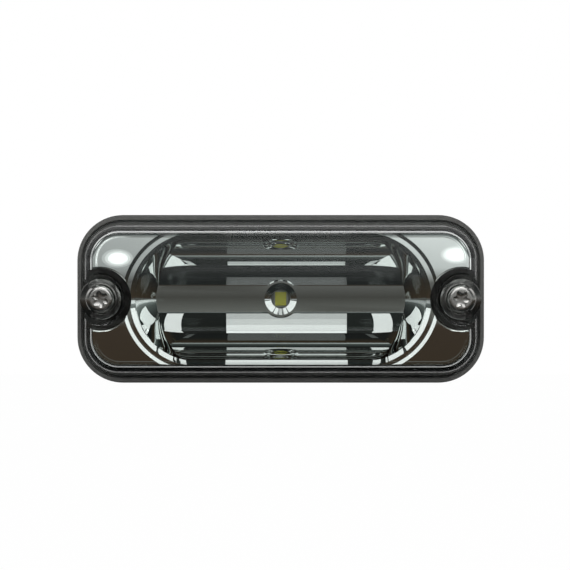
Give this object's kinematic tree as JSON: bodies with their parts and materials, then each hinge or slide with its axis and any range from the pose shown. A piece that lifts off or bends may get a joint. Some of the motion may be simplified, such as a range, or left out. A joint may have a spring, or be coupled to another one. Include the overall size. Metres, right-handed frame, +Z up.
{
  "type": "roof marker light",
  "caption": "Roof marker light: clear drafted cover over a bright trough reflector and light chip, black gasketed flange, screws in end wells, rear tub with a plug socket.",
  "frame": {"origin": "midway between the two mounting screws, on the panel face that the gasket presses on", "axes": "+X to the right as seen by someone looking at the lit face, +Z up, the light shines along -Y and the panel lies towards +Y"},
  "size_m": [0.13, 0.05, 0.0536],
  "materials": {
    "clear_cover": "polished",
    "bright_reflector": "polished",
    "black_housing": "satin",
    "gasket_rubber": "matte",
    "seal_rubber": "matte",
    "screw_steel": "polished",
    "sleeve_steel": "satin",
    "board_mask": "satin",
    "chip_body": "satin",
    "chip_phosphor": "satin",
    "component_black": "matte",
    "capacitor_body": "satin",
    "contact_metal": "polished",
    "membrane": "matte"
  },
  "bodies": {
    "root": {"lens_cover": "clear_cover", "reflector": "bright_reflector", "base_housing": "black_housing", "mounting_gasket": "gasket_rubber", "lens_seal": "seal_rubber", "mounting_screws": "screw_steel", "screw_seal_left": "gasket_rubber", "screw_seal_right": "gasket_rubber", "spacer_sleeve_left": "sleeve_steel", "spacer_sleeve_right": "sleeve_steel", "circuit_board": "board_mask", "board_screws": "screw_steel", "led_package": "chip_body", "led_phosphor": "chip_phosphor", "driver_chip": "component_black", "ballast_resistor_1": "component_black", "ballast_resistor_2": "component_black", "ballast_resistor_3": "component_black", "filter_capacitor_1": "capacitor_body", "filter_capacitor_2": "capacitor_body", "polarity_diode": "component_black", "surge_suppressor": "component_black", "terminal_blade_left": "contact_metal", "terminal_blade_right": "contact_metal", "breather_membrane": "membrane"}
  },
  "joints": []
}
